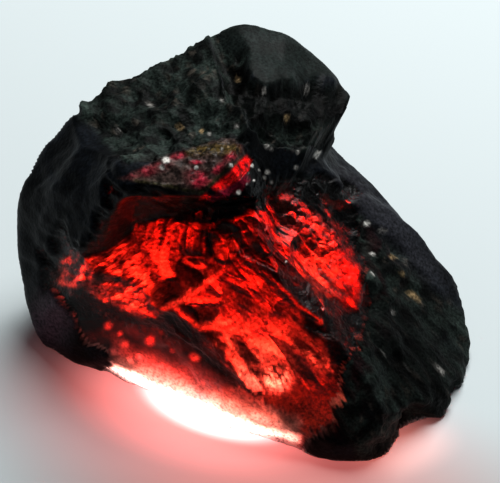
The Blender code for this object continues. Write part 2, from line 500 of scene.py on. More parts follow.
def cut_by_box(rays, reach):
    """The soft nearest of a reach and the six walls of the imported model's box.

    A ray reaches a wall at the wall's distance from the heart over the ray's part along the wall's axis. The
    lowest wall is the table, so this also makes the rest face flat.
    """
    total = reach**-EDGE_SHARPNESS
    for axis in range(3):
        for wall, outward in ((cad_box[0][axis], -1), (cad_box[1][axis], 1)):
            away = abs(wall / MM - HEART[axis])
            total += (np.maximum(rays[:, axis] * outward, 1e-6) / away) ** EDGE_SHARPNESS
    return total ** (-1 / EDGE_SHARPNESS)

# %% [markdown]
# ## Bending the rays
# Planes meet in dead straight edges, and a natural stone has none. Each ray is turned a little, by smooth
# noise, before it is asked where it leaves the lumps. That bends every edge and makes every face slightly
# uneven.

# %% The broad form, from bent rays
BEND = 0.035
BEND_SIZE = 0.33

turns = np.column_stack([cloudy(rays, BEND_SIZE, seed) for seed in (81, 85, 89)])
bent_rays = rays + BEND * turns
bent_rays /= np.linalg.norm(bent_rays, axis=1)[:, None]
broad = broad_reach(rays, bent_rays)
places = rays * cut_by_box(rays, broad)[:, None]
print("broad form reaches", round(broad.min(), 1), "to", round(broad.max(), 1), "mm from the heart")

# %% [markdown]
# ## The overhang of the plate
# A surface of rays can't fold over itself, so the plate can't hang out over the hollow yet. The back of the
# hollow is therefore pushed up the view, under the plate: a move that is full at the hollow's back, and
# fades out toward the plate's rim and down the hollow's floor.

# %% Pushing the back of the hollow in under the plate
UNDERCUT = 1.1
# Where the push starts and is full: toward the eye, up from below, down from above, from the left and right
UNDERCUT_TOWARD = (4.7, 3.2)
UNDERCUT_LOW = (-2.4, 0.5)
UNDERCUT_HIGH = (4.0, 2.6)
UNDERCUT_LEFT = (-7.0, -5.0)
UNDERCUT_RIGHT = (1.6, 0.4)

across, up, toward = places @ ACROSS, places @ UP, places @ TOWARD
undercut = smooth_step(*UNDERCUT_TOWARD, toward) * (rays @ TOWARD > 0)
undercut *= smooth_step(*UNDERCUT_LOW, up) * smooth_step(*UNDERCUT_HIGH, up)
undercut *= smooth_step(*UNDERCUT_LEFT, across) * smooth_step(*UNDERCUT_RIGHT, across)
shift = UNDERCUT * undercut[:, None] * UP
places = places + shift
print("points moved under the plate:", int((undercut > 0.1).sum()))

# %% [markdown]
# ## Where each thing is seen
# The crust, the plate and the broken face are placed by where they are seen: in pixels of a picture 500
# wide and 483 high, taken by the camera above. A point nearer to the eye looks larger and further from the
# middle, and one division by its distance takes care of that.

# %% Picture places of all points
PICTURE_WIDTH = 500
PIXELS_PER_MM = PICTURE_WIDTH / FRAME_WIDTH
PICTURE_CENTRE = (250.0, 241.5)


def in_picture(places):
    """Pixel across and down of places given from the heart: offset from the axis / distance along it."""
    shrink = distance / (distance - places @ TOWARD)
    across = (places @ ACROSS - PICTURE_MIDDLE[0]) * shrink
    up = (places @ UP - PICTURE_MIDDLE[1]) * shrink
    return PICTURE_CENTRE[0] + across * PIXELS_PER_MM, PICTURE_CENTRE[1] - up * PIXELS_PER_MM


def from_edge(x, y, start, end):
    """Distance of each point to the straight edge between two corners, in pixels."""
    edge = end - start
    share = np.clip(((x - start[0]) * edge[0] + (y - start[1]) * edge[1]) / (edge @ edge), 0, 1)
    return np.hypot(x - start[0] - share * edge[0], y - start[1] - share * edge[1])


def inside_outline(x, y, corners):
    """Distance of each point to a closed outline, in pixels: positive inside and negative outside.

    The distance is the least over the outline's edges. A point is inside if a line from it to the right
    crosses the outline an odd number of times.
    """
    corners = np.array(corners, float)
    nearest = np.full(len(x), np.inf)
    crossings = np.zeros(len(x), int)
    for start, end in zip(corners, np.roll(corners, -1, axis=0)):
        nearest = np.minimum(nearest, from_edge(x, y, start, end))
        across, down = end - start
        spans = (start[1] > y) != (end[1] > y)
        crossings += spans & (x < start[0] + (y - start[1]) * across / (down or 1))
    return np.where(crossings % 2 == 1, nearest, -nearest)


def near_path(x, y, corners):
    """Distance of each point to an open path of straight pieces, in pixels."""
    corners = np.array(corners, float)
    nearest = np.full(len(x), np.inf)
    for start, end in zip(corners[:-1], corners[1:]):
        nearest = np.minimum(nearest, from_edge(x, y, start, end))
    return nearest


def patch(x, y, spot):
    """A soft oval, 1 in the middle: spot is its name, middle, half length, half width, turn and strength."""
    _, middle, length, width, turn, strength = spot
    turned = math.radians(turn)
    along = (x - middle[0]) * math.cos(turned) - (y - middle[1]) * math.sin(turned)
    aside = (x - middle[0]) * math.sin(turned) + (y - middle[1]) * math.cos(turned)
    return strength * np.exp(-(((along / length) ** 2 + (aside / width) ** 2) ** 1.5))


x, y = in_picture(places)
print("points seen from", x.min().round(), "to", x.max().round(), "across")

# %% [markdown]
# ## Which part of the surface is which
# The skin differs from place to place: smooth and worn on the left and on the knob, a rough crust on top
# and at the right end, a thin flake of another crystal over the hollow, and bare broken painite in the
# middle. Each kind is a soft mask, a number from 0 to 1 for every point. Its outline is given in the
# picture and made ragged with noise, because nothing on a broken stone has a clean edge.

# %% Outlines of the kinds of surface, in pixels of the picture
CLEAR_OUTLINE = (
    (84, 250), (100, 218), (110, 184), (150, 190), (200, 203), (258, 202), (262, 192), (276, 180),
    (300, 174), (335, 176), (360, 192), (362, 236), (366, 258), (374, 285), (362, 330), (352, 352),
    (342, 376), (334, 420), (300, 450), (250, 442), (215, 432), (160, 408), (112, 388), (98, 345),
    (70, 318), (50, 300), (40, 284), (50, 244), (66, 226), (78, 238),
)
LEAF_OUTLINE = (
    (116, 179), (136, 171), (161, 158), (175, 152), (190, 148), (206, 143), (222, 138), (235, 139),
    (242, 146), (247, 157), (236, 165), (226, 174), (214, 185), (203, 195), (193, 194), (176, 190),
    (158, 186), (136, 183),
)
STRIP_OUTLINE = (
    (197, 201), (208, 190), (222, 178), (233, 168), (240, 160), (246, 155), (252, 160), (248, 171),
    (239, 180), (228, 187), (215, 194), (206, 200),
)
DIM_STRIP_OUTLINE = ((206, 199), (226, 185), (246, 172), (251, 180), (241, 190), (225, 198), (212, 202))
CORNER_OUTLINE = (
    (241, 142), (252, 156), (262, 168), (265, 188), (256, 203), (236, 208), (214, 209), (190, 203),
    (201, 198), (206, 198), (214, 191), (226, 184), (236, 178), (244, 172), (250, 163), (246, 155),
)
DOME_OUTLINE = (
    (214, 20), (350, 20), (372, 96), (349, 108), (346, 92), (338, 80), (318, 74), (300, 84), (284, 81),
    (264, 86), (252, 76), (246, 60), (232, 56), (222, 44),
)
UNDER_DOME_OUTLINE = (
    (224, 60), (244, 66), (253, 80), (266, 89), (284, 84), (300, 87), (319, 79), (340, 86), (352, 104),
    (338, 122), (331, 150), (300, 152), (262, 146), (244, 118), (226, 92),
)
BAND_OUTLINE = (
    (52, 312), (100, 316), (150, 330), (190, 350), (222, 374), (238, 390), (262, 404), (300, 420),
    (300, 455), (215, 445), (150, 415), (100, 396), (70, 350),
)
UNDER_LEAF_OUTLINE = (
    (150, 190), (192, 200), (236, 206), (262, 196), (257, 208), (238, 214), (216, 220), (200, 221),
    (186, 214), (171, 213), (157, 206),
)
# 1 where a ray goes toward the eye or aside, and 0 where it goes well away from it
EYE_SIDE = smooth_step(-0.42, -0.30, rays @ TOWARD)
EDGE_WOBBLE = 9.0
FINE_WOBBLE = 2.2

# %% Soft masks of the kinds of surface
wobble = EDGE_WOBBLE * cloudy(places, 1.2, 11)
ragged = FINE_WOBBLE * cloudy(places, 0.35, 37, 2)


def within(corners, wander, low=-1.5, high=2.5):
    """1 inside an outline and 0 outside, over a few pixels, where wander moves the outline in and out."""
    return smooth_step(low, high, inside_outline(x, y, corners) + wander) * EYE_SIDE


def kinds_of_surface():
    """Masks where the points are seen now: the plate's three parts and the plate, the clear face and its
    band, the dome and what is under it.
    """
    leaf = within(LEAF_OUTLINE, ragged * 0.6)
    strip = within(STRIP_OUTLINE, ragged * 0.4)
    corner = within(CORNER_OUTLINE, 0.0) * (1 - strip)
    plate = np.maximum(np.maximum(leaf, strip), corner)
    clear = within(CLEAR_OUTLINE, wobble, -3, 5) * (1 - plate)
    band = within(BAND_OUTLINE, ragged, -4, 6) * clear
    dome = within(DOME_OUTLINE, wobble * 0.5, -3, 4)
    under_dome = within(UNDER_DOME_OUTLINE, wobble * 0.5, -2, 6)
    return leaf, strip, corner, plate, clear, band, dome, under_dome


leaf, strip, corner, plate, clear, band, dome, under_dome = kinds_of_surface()
body_reach, body_chipping = lump_reach(bent_rays, BODY)
knob_reach, knob_chipping = lump_reach(bent_rays, KNOB)
chipping = np.where(knob_reach > body_reach, knob_chipping, body_chipping)
chipped = smooth_step(0.08, 0.24, chipping + 0.05 * cloudy(places, 2.0, 12))
crust = np.maximum(chipped, under_dome) * (1 - clear) * (1 - plate) * (1 - dome)
print("clear", int(clear.sum()), "plate", int(plate.sum()), "crust", int(crust.sum()), "points")

# %% [markdown]
# ## The broken face
# Inside the clear area the crack left different textures: long splinters on the main face, a fibrous fan
# and a round cell in the hollow, rounded beads in the basin and a net of small grains at the left. Each is
# a relief with a share of light, which says how freely light comes out of it: a splinter lying along the
# crack lets it through, and a crushed or soiled one holds it back.

# %% Splinters: facets drawn out along the crack, crossed by shorter ones
CRACK = seen_direction(-40)
CROSS_CRACK = seen_direction(33)
FIBRE = seen_direction(85)
along_crack = drawn_out(places, CRACK, 2.8)
big_relief, big_tone = shards(along_crack, 0.75, 0.9, 0.4, 21)
small_relief, small_tone = shards(along_crack, 0.26, 0.9, 0.4, 22)
cross_tone = shards(drawn_out(places, CROSS_CRACK, 3.0), 0.40, 0.9, 0.4, 29)[1]
streak = cloudy(drawn_out(places, CRACK, 7.0), 0.40, 23, 3)
needle = smooth_step(0.82, 1.0, 1 - 2 * np.abs(waves(drawn_out(places, CRACK, 8.0), 0.42, 30)))
needle *= smooth_step(0.0, 0.5, waves(places, 0.9, 36))
splinter_light = (0.16 + 1.25 * big_tone**1.5) * (0.35 + 1.0 * small_tone) * (0.55 + 0.75 * cross_tone)
splinter_light = splinter_light * (1 + 0.8 * streak) + 0.5 * needle
print("splinter light from", splinter_light.min().round(2), "to", splinter_light.max().round(2))

# %% Grains with dark seams, rounded beads and fibres
seen_places = drawn_out(places, TOWARD, 3.0)
grain_middle, grain_border, grain_tone = grains(seen_places + 0.05 * streak[:, None], 0.36, 24)
grain_relief = -0.18 * grain_middle**2
grain_clouds = cloudy(places, 0.9, 25, 2)
grain_light = smooth_step(0.02, 0.20, grain_border) * (0.15 + 1.15 * grain_tone + 0.5 * grain_clouds)

bead_places = seen_places + 0.12 * cloudy(places, 0.5, 38, 2)[:, None]
bead_middle, bead_border, bead_tone = grains(bead_places, 0.42, 26)
bead_relief = 0.20 * np.sqrt(np.maximum(0.5 - bead_middle**2, 0.0))
bead_clouds = cloudy(places, 0.5, 27, 2)
bead_light = smooth_step(-0.20, 0.24, bead_border) * (0.35 + 0.7 * bead_tone + 0.6 * bead_clouds)

fibre = cloudy(drawn_out(places, FIBRE, 9.0), 0.22, 28, 3)
fibre_light = np.clip(0.75 + 1.5 * fibre + 0.6 * cloudy(places, 0.7, 44, 2), 0.10, 1.5)
print("grain light up to", grain_light.max().round(2), "and fibre light up to", fibre_light.max().round(2))

# %% Where each texture is, in the picture
# Name, middle, half length, half width, turn, strength
GRAIN_SPOTS = (
    ("left_net", (118, 280), 40, 34, -20, 1.4),
    ("far_left_net", (84, 270), 28, 20, 40, 1.2),
    ("orange_grains", (276, 376), 16, 15, 0, 1.2),
)
BEAD_SPOTS = (
    ("basin_top", (296, 214), 22, 14, -50, 1.1),
    ("basin_middle", (322, 236), 30, 17, -48, 1.2),
    ("basin_low", (346, 270), 26, 15, -56, 1.1),
)
FIBRE_SPOTS = (
    ("fan_column", (158, 244), 34, 18, 86, 1.3),
    ("fan_right", (188, 240), 18, 14, 60, 1.1),
    ("sliver", (140, 225), 26, 8, 82, 1.1),
    ("under_leaf", (200, 212), 40, 10, 10, 0.8),
)


def spots(table):
    """The strongest of a table's patches at each point."""
    return np.max([patch(x, y, spot) for spot in table], axis=0)


def texture_shares():
    """The shares of splinters, grains, beads and fibres where the points are seen now."""
    grain_share = np.clip(spots(GRAIN_SPOTS), 0, 1) * clear
    bead_share = np.clip(spots(BEAD_SPOTS), 0, 1) * clear * (1 - grain_share)
    fibre_share = np.clip(spots(FIBRE_SPOTS), 0, 1) * clear * (1 - grain_share)
    splinter_share = np.clip(1 - grain_share - bead_share - fibre_share, 0, 1) * clear
    return splinter_share, grain_share, bead_share, fibre_share


splinter_share, grain_share, bead_share, fibre_share = texture_shares()
print("beads on", int(bead_share.sum()), "points, grains on", int(grain_share.sum()))

# %% Facets with a clean edge that are lighter or darker than what is round them
# Name, corners in the picture, and how light or how dark
LIGHT_FACETS = (
    ("sliver", ((145, 202), (148, 206), (144, 227), (141, 246), (136, 241), (133, 224), (137, 209)), 1.4),
    ("fan_column", ((150, 219), (162, 221), (178, 230), (171, 241), (168, 259), (173, 276), (162, 280),
                    (158, 266), (152, 257), (145, 248), (144, 229)), 1.5),
    ("fan_tuft_1", ((172, 232), (180, 229), (179, 239), (171, 240)), 1.1),
    ("fan_tuft_2", ((190, 232), (199, 238), (199, 247), (192, 256), (184, 250), (188, 240)), 1.0),
    ("pit_edge", ((182, 300), (196, 296), (224, 297), (218, 303), (196, 305)), 2.4),
    ("orange_patch", ((228, 358), (238, 356), (257, 379), (264, 391), (252, 391), (241, 380)), 2.0),
    ("crescent", ((319, 192), (327, 194), (333, 200), (347, 202), (349, 207), (338, 210), (325, 204)), 2.4),
    ("crescent_dot", ((326, 210), (332, 210), (333, 215), (328, 216)), 1.2),
)
DARK_FACETS = (
    ("smooth_left", ((112, 186), (134, 190), (144, 195), (136, 213), (132, 234), (127, 246), (107, 236),
                     (102, 213)), 0.60),
    ("under_plate", ((150, 200), (186, 203), (214, 209), (257, 203), (254, 214), (236, 221), (216, 227),
                     (200, 229), (186, 222), (171, 227), (159, 218)), 0.70),
    ("dark_triangle", ((147, 266), (153, 308), (160, 309), (200, 285), (226, 267), (214, 260), (204, 265),
                       (194, 256), (182, 254), (176, 262), (172, 278), (160, 281)), 0.86),
    ("fan_gap", ((200, 234), (207, 227), (214, 256), (207, 265), (200, 256)), 0.85),
    ("pit_1", ((184, 305), (193, 304), (216, 305), (222, 310), (214, 322), (202, 325), (195, 318)), 0.93),
    ("pit_2", ((231, 339), (241, 340), (252, 349), (261, 362), (254, 365), (240, 355), (231, 348)), 0.88),
    ("splintered", ((255, 272), (264, 256), (286, 248), (304, 262), (322, 286), (322, 296), (309, 311),
                    (294, 299), (271, 282)), 0.45),
    ("small_hole", ((258, 206), (266, 205), (266, 212), (259, 213)), 0.95),
    ("behind_ridge", ((303, 311), (322, 324), (326, 336), (315, 341), (304, 326)), 0.9),
    ("right_dark", ((322, 294), (340, 298), (372, 318), (380, 345), (360, 385), (342, 400), (330, 372),
                    (326, 330)), 0.78),
    ("crescent_shadow", ((296, 178), (330, 182), (362, 208), (352, 222), (330, 222), (310, 206),
                         (292, 194)), 0.86),
    ("band_top", ((48, 282), (78, 284), (100, 302), (130, 314), (156, 318), (176, 310), (186, 319),
                  (201, 332), (215, 331), (226, 336), (231, 352), (222, 372), (190, 356), (150, 336),
                  (112, 330), (80, 330)), 0.80),
)
# Dark facets that are only in shade. All the others are also pits
SHADES = ("smooth_left", "band_top", "crescent_shadow")

# %% Edges that catch the light
# Name, path in the picture, width, and how light
LIGHT_LINES = (
    ("ridge_left", ((155, 315), (175, 304), (200, 290), (225, 272), (248, 261)), 3.0, 1.0),
    ("net_rim", ((62, 282), (84, 285), (100, 297), (118, 303), (130, 311), (155, 314)), 3.2, 1.3),
    ("face_rim", ((175, 307), (184, 316), (200, 328), (214, 327), (225, 332), (230, 345),
                  (228, 358)), 2.6, 1.3),
    ("ridge_right", ((248, 261), (261, 272), (279, 286), (302, 309), (321, 322)), 2.0, 1.1),
    ("second_ridge", ((284, 312), (289, 316), (305, 340), (323, 357), (332, 372)), 1.5, 0.7),
    ("basin_top_1", ((262, 206), (271, 191), (295, 178)), 1.8, 1.3),
    ("basin_top_2", ((266, 212), (276, 197), (290, 189)), 1.5, 0.9),
    ("pit_arc", ((184, 260), (192, 266), (206, 267)), 1.6, 0.9),
    ("cell_sliver", ((205, 230), (203, 246), (204, 252)), 1.6, 1.1),
    ("low_streak_1", ((305, 352), (316, 376), (332, 395)), 1.3, 0.6),
    ("low_streak_2", ((290, 366), (304, 382), (318, 400)), 1.2, 0.5),
    ("splinter_edge_1", ((290, 250), (302, 264), (312, 276)), 1.3, 0.8),
    ("splinter_edge_2", ((264, 260), (276, 252), (290, 248)), 1.2, 0.8),
    ("far_left_edge", ((68, 286), (80, 276), (96, 262)), 2.0, 1.3),
)
# The first five of these edges are ridges, so they stand proud too
RIDGES = 5
CELL_MIDDLE = (225, 242)
CELL_RADIUS = 17
CELL_SEAM = 2.0


def from_cell():
    """Distance of each point, where it is seen now, to the middle of the round cell."""
    return np.hypot(x - CELL_MIDDLE[0], (y - CELL_MIDDLE[1]) * 0.85)

# %% [markdown]
# ## Relief
# All the reliefs go on the broad form, each where its kind of surface is. Dark facets are pits, so they are
# also a little sunk, and the first few lit edges stand a little proud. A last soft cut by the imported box
# keeps the rest face flat.

# %% Relief, in millimetres
PIT_DEPTH = 0.14
RIDGE_RISE = 0.07
UNDER_DOME_DEPTH = 0.40
UNDER_DOME_DOWN = (160, 120)
SKIN_RISE = 0.20
# Name, middle in the picture, radius, rise or, below zero, depth
SKIN_MARKS = (
    ("crown_pit", (237, 53), 6, -0.35),
    ("dome_pit", (302, 84), 7, -0.25),
    ("neck_notch", (342, 122), 15, -0.70),
    ("knob_corner", (349, 92), 10, -0.20),
    ("crust_pit_1", (196, 112), 9, -0.35),
    ("crust_pit_2", (160, 140), 10, -0.35),
    ("crust_pit_3", (296, 132), 10, -0.35),
    ("left_shoulder_swell", (110, 84), 18, 0.45),
    ("shoulder_point", (76, 100), 8, -0.30),
    ("crust_swell", (150, 74), 22, 0.25),
    ("right_swell_1", (442, 276), 20, 0.60),
    ("right_swell_2", (466, 338), 16, 0.30),
    ("foot_swell", (380, 460), 16, 0.30),
    ("foot_dent", (418, 436), 24, -1.00),
    ("left_foot_dent", (28, 350), 14, -0.50),
    ("left_swell", (45, 155), 20, 0.25),
)
crust_relief = shards(places, 0.95, 0.9, 0.5, 31)[0]
crumb_relief = shards(places, 0.38, 0.9, 0.5, 32)[0]
facet_relief = shards(places, 2.3, 0.55, 0.35, 35)[0]
bare = (1 - clear) * (1 - plate)

relief = splinter_share * (1 - band) * (0.36 * big_relief + 0.36 * small_relief)
relief += grain_share * grain_relief + bead_share * bead_relief + fibre_share * 0.08 * fibre
relief += crust * (0.60 * crust_relief + 0.70 * crumb_relief + 0.06 * ridged(places, 0.8, 34))
relief += bare * (SKIN_RISE + 0.10 * facet_relief + 0.10 * cloudy(places, 2.4, 41))
relief -= UNDER_DOME_DEPTH * under_dome * smooth_step(*UNDER_DOME_DOWN, y)
for name, corners, strength in DARK_FACETS:
    if name not in SHADES:
        relief -= PIT_DEPTH * clear * strength * within(corners, 0.0, -1.5, 5.0)
for _, corners, width, _ in LIGHT_LINES[:RIDGES]:
    relief += RIDGE_RISE * clear * np.exp(-((near_path(x, y, corners) / (width * 2.0)) ** 2))
for _, (mark_x, mark_y), radius, rise in SKIN_MARKS:
    relief += rise * EYE_SIDE * np.exp(-((np.hypot(x - mark_x, y - mark_y) / radius) ** 2))
cell_away = from_cell()
relief -= 0.25 * clear * smooth_step(CELL_RADIUS, 4, cell_away)
relief += 0.08 * clear * np.exp(-(((cell_away - CELL_RADIUS) / 2.5) ** 2))
print("relief from", round(relief.min(), 2), "to", round(relief.max(), 2), "mm")

# %% The flake on the plate: a little proud, with a worn rim
PLATE_RISE = 0.12
RIM_PATH = ((136, 182), (158, 185), (180, 190), (198, 194), (205, 191), (216, 181), (228, 171), (241, 160))


def worn_rim():
    """The flake's rim, where the points are seen now."""
    return np.exp(-(((near_path(x, y, RIM_PATH) + ragged * 0.5) / 3.0) ** 2)) * leaf


rim = worn_rim()
relief += PLATE_RISE * plate + 0.04 * rim + leaf * 0.06 * cloudy(places, 0.30, 43, 3)
relief += corner * 0.25 * crumb_relief - 0.06 * strip

points = HEART + rays * cut_by_box(rays, broad + relief)[:, None] + shift
print("points", len(points), "up to", round(points[:, 2].max(), 2), "mm high")

# %% [markdown]
# ## Where each thing is seen, after the relief
# The relief moved the points, also sideways in the picture, by up to ten pixels. Light and colour should be
# just where they are on the real stone, so the picture places and the masks are worked out once more.

# %% Picture places and masks again
x, y = in_picture(points - HEART)
leaf, strip, corner, plate, clear, band, dome, under_dome = kinds_of_surface()
crust = np.maximum(chipped, under_dome) * (1 - clear) * (1 - plate) * (1 - dome)
splinter_share, grain_share, bead_share, fibre_share = texture_shares()
texture_light = (
    splinter_share * splinter_light
    + grain_share * grain_light
    + bead_share * bead_light
    + fibre_share * fibre_light
) / np.maximum(splinter_share + grain_share + bead_share + fibre_share, 0.01)
print("clear", int(clear.sum()), "plate", int(plate.sum()), "crust", int(crust.sum()), "points")

# %% [markdown]
# ## The light that comes out
# Light from below comes out of the face very unevenly. It is set down as soft patches, facets with a clean
# edge and edges that catch it, all multiplied by the texture's own share, so that no patch looks
# airbrushed.

# %% Where the face lets light out: soft patches
# Name, middle, half length, half width, turn, strength
LIGHT_SPOTS = (
    ("cell", (223, 246), 14, 11, 60, 0.9),
    ("cell_top", (233, 226), 9, 5, 40, 0.7),
    ("left_net_high", (110, 258), 32, 14, 12, 0.9),
    ("left_net", (120, 282), 40, 24, -20, 1.6),
    ("far_left_net", (90, 268), 28, 16, 30, 1.2),
    ("net_low", (120, 294), 26, 10, -22, 0.7),
    ("ridge_top", (256, 226), 24, 12, 60, 0.7),
    ("basin_wall", (280, 222), 20, 14, -40, 0.5),
    ("fan_top", (168, 236), 26, 18, -5, 1.0),
    ("far_left_blob", (67, 258), 10, 5, 50, 1.7),
    ("far_left_streak", (82, 272), 22, 5, 40, 1.4),
    ("smooth_left", (118, 222), 24, 14, 60, 0.7),
    ("left_fleck_1", (98, 229), 8, 3, 55, 0.8),
    ("left_fleck_2", (66, 234), 6, 2.5, 60, 0.6),
    ("left_fleck_3", (106, 236), 7, 2.5, 50, 0.9),
    ("main_face", (240, 305), 74, 34, -38, 0.75),
    ("main_bright", (274, 336), 28, 20, -30, 1.1),
    ("main_high", (240, 282), 30, 12, -20, 0.85),
    ("splinters_behind", (292, 262), 34, 16, -45, 0.55),
    ("face_foot", (222, 348), 18, 10, -30, 0.7),
    ("orange_grains", (276, 377), 15, 13, 0, 1.3),
    ("foot_fringe", (290, 395), 24, 12, -20, 0.45),
    ("ridge_low", (318, 358), 44, 12, -52, 0.65),
    ("basin_top", (278, 198), 26, 11, 36, 0.8),
    ("basin_high", (308, 222), 24, 12, -45, 1.7),
    ("basin_middle", (320, 244), 30, 14, -50, 1.5),
    ("basin_low", (344, 274), 24, 11, -56, 1.2),
    ("hollow_back", (206, 262), 14, 4, 10, 0.5),
    ("under_leaf", (190, 216), 44, 12, -8, 0.4),
    ("right_spark_1", (350, 304), 12, 9, 60, 0.7),
    ("right_spark_2", (350, 340), 9, 5, 60, 0.4),
    ("right_spark_3", (377, 292), 7, 2.5, -70, 0.8),
    ("right_spark_4", (351, 252), 5, 5, 0, 0.9),
    ("right_spark_5", (356, 270), 6, 5, 0, 1.0),
    ("dark_corner_red", (366, 306), 16, 12, 0, 0.20),
)

# %% All of it together
LEAST_LIGHT = 0.09
# The light fades toward the edge at the right side. Pixels down and across where that side starts, and from
# how deep inside the clear outline the light fades
RIGHT_SIDE_DOWN = (205, 225)
RIGHT_SIDE_ACROSS = (285, 300)
RIGHT_SIDE_FADE = (22, 1)
light = LEAST_LIGHT + np.sum([patch(x, y, spot) ** 2 for spot in LIGHT_SPOTS], axis=0) ** 0.5
light *= 0.06 + 1.35 * np.maximum(texture_light, 0) ** 1.4
for _, corners, strength in DARK_FACETS:
    light = light * (1 - strength * within(corners, ragged))
for _, corners, strength in LIGHT_FACETS:
    light = np.maximum(light, within(corners, ragged, -1.5, 2.0) * strength * (0.12 + texture_light))
for _, corners, width, strength in LIGHT_LINES:
    edge_glow = np.exp(-(((near_path(x, y, corners) + ragged * 0.5) / width) ** 2))
    light = np.maximum(light, edge_glow * strength * (0.4 + 0.6 * texture_light))
clear_depth = inside_outline(x, y, CLEAR_OUTLINE)
right_side = smooth_step(*RIGHT_SIDE_DOWN, y) * smooth_step(*RIGHT_SIDE_ACROSS, x)
light *= 1 - right_side * smooth_step(*RIGHT_SIDE_FADE, clear_depth + wobble)
cell_away = from_cell()
light = light * (1 - 0.75 * np.exp(-(((cell_away - CELL_RADIUS) / CELL_SEAM) ** 2)))
print("light from", light.min().round(3), "to", light.max().round(2))

# %% [markdown]
# ## The worn band along the foot
# Below the broken face the stone is worn smooth again, but thinly, like frosted glass. Right above the
# light it glows pink, and fades to black further up. A few round dots are painted highlights, bright
# blurred spots in the glow.

# %% The band's own light
# Name, middle, half length, half width, turn, strength
BAND_SPOTS = (
    ("band_middle", (186, 396), 70, 24, -24, 1.15),
    ("band_core", (176, 398), 44, 12, -22, 0.7),
    ("band_left", (120, 362), 34, 18, -30, 0.5),
    ("band_high", (164, 336), 50, 11, -14, 0.09),
    ("band_right", (258, 420), 40, 13, -22, 0.6),
)
# Painted highlights: small round bright dots in the band's glow
HIGHLIGHT_DOT_SPOTS = (
    ("dot_1", (150, 341), 4.5, 4.5, 0, 1.0),
    ("dot_2", (139, 357), 3.5, 3.5, 0, 0.9),
    ("dot_3", (130, 360), 4, 4, 0, 0.9),
    ("dot_4", (195, 357), 5, 4, -20, 1.0),
    ("dot_5", (162, 366), 4, 4, 0, 0.8),
    ("dot_6", (202, 383), 5, 4, 0, 0.8),
    ("dot_7", (125, 345), 4, 4, 0, 0.6),
    ("dot_8", (108, 326), 3.5, 4, 0, 0.45),
    ("dot_9", (120, 334), 2.5, 2.5, 0, 0.5),
    ("dot_10", (172, 351), 2.5, 2.5, 0, 0.5),
)
RIGHT_FOOT_OUTLINE = (
    (270, 398), (300, 388), (345, 378), (372, 360), (400, 380), (400, 420), (360, 460), (300, 455),
)
# The same fade at the left end of the band
LEFT_END_DOWN = (280, 295)
LEFT_END_ACROSS = (150, 120)
LEFT_END_FADE = (18, 2)
band_light = np.maximum(spots(BAND_SPOTS) * (0.8 + 0.3 * cloudy(places, 0.9, 33, 3)), spots(HIGHLIGHT_DOT_SPOTS))
light = light * (1 - band * 0.8) + band * band_light * 0.9
right_foot = within(RIGHT_FOOT_OUTLINE, ragged, -4, 8) * clear
left_end = smooth_step(*LEFT_END_DOWN, y) * smooth_step(*LEFT_END_ACROSS, x)
light *= 1 - left_end * smooth_step(*LEFT_END_FADE, clear_depth + wobble)
light = light * (1 - 0.92 * right_foot) + right_foot * 0.06 * (1 + 0.5 * cloudy(places, 1.4, 39))
print("band light up to", band_light.max().round(2))

# %% The mesh
mesh = bpy.data.meshes.new("crystal")
mesh.from_pydata(points * MM, [], quads)
mesh.update()
mesh.shade_smooth()
crystal = bpy.data.objects.new("crystal", mesh)
bpy.context.scene.collection.objects.link(crystal)
print(len(mesh.vertices), "points,", len(mesh.polygons), "faces")

# %% [markdown]
# ## Colours of the skin
# The skin is a thin black rind. On the knob's top it is a dull grey-green, partly its own worn colour and
# partly a painted sheen. In the crust it is a mass of tiny grains, most of them black and a few grey or tan,
# and on the plate lies a thin flake of another mineral, brown with crimson windows. The colours are worked
# out for each point, so they follow the relief: the crust is painted darker where it sinks, as shade.
# Shade under the knob and at the right end, and sheen on some faces, are painted into the skin colour too.

# %% Skin, dome and crust
SKIN_COLORS = ("07090b", "11151a")
# The dome's colours are partly its own worn grey-green and partly painted sheen
DOME_COLORS_AND_SHEEN = ("141917", "1d2422")
CRUST_COLORS = ("101412", "37423d")
GRAIN_COLORS = ("25231f", "4a453e")
RED_TINGE = "1d0508"
# Painted shade under the knob: nearly black down to the first of these pixels, fading out by the second
UNDER_DOME_PAINTED_SHADE = (150, 110)
# Painted shade: places where the skin is painted darker. Name, middle in the picture, half length, half
# width, turn, strength
PAINTED_SHADE_SPOTS = (
    ("right_end", (404, 350), 78, 44, -60, 0.85),
    ("crust_over_plate", (150, 112), 40, 18, 20, 0.30),
)
# Painted sheen: places where a sheen of the light is painted into the skin colour, pinkish at the left foot,
# as if lit from the floor. Name, middle in the picture, half length, half width, turn, colour
PAINTED_SHEENS = (
    ("left_foot", (50, 320), 34, 22, 80, "54404a"),
    ("left_face", (40, 240), 50, 18, 80, "0e1114"),
    ("right_shoulder", (398, 236), 66, 16, -48, "2e2f34"),
    ("right_brow", (355, 186), 30, 12, -45, "26262a"),
)


def paint(code):
    """A hex colour as an array, ready to be mixed."""
    return np.array(linear(code)[:3])


def blend(first, second, share):
    """Colours from first to second by a share for each point."""
    return first + (second - first) * share[:, None]


def cloudy_colors(codes, size, seed, soft=0.35):
    """Two colours mixed in clouds of about one size."""
    share = smooth_step(-soft, soft, cloudy(places, size, seed, 4))
    return blend(paint(codes[0]), paint(codes[1]), share)


grain_places = places + EYE_SIDE[:, None] * (seen_places - places)
grain_places += 0.06 * cloudy(places, 0.25, 61, 2)[:, None]
_, crust_border, crust_tone = grains(grain_places, 0.27, 62)
loose = smooth_step(0.78, 0.98, crust_tone) * smooth_step(0.04, 0.20, crust_border)
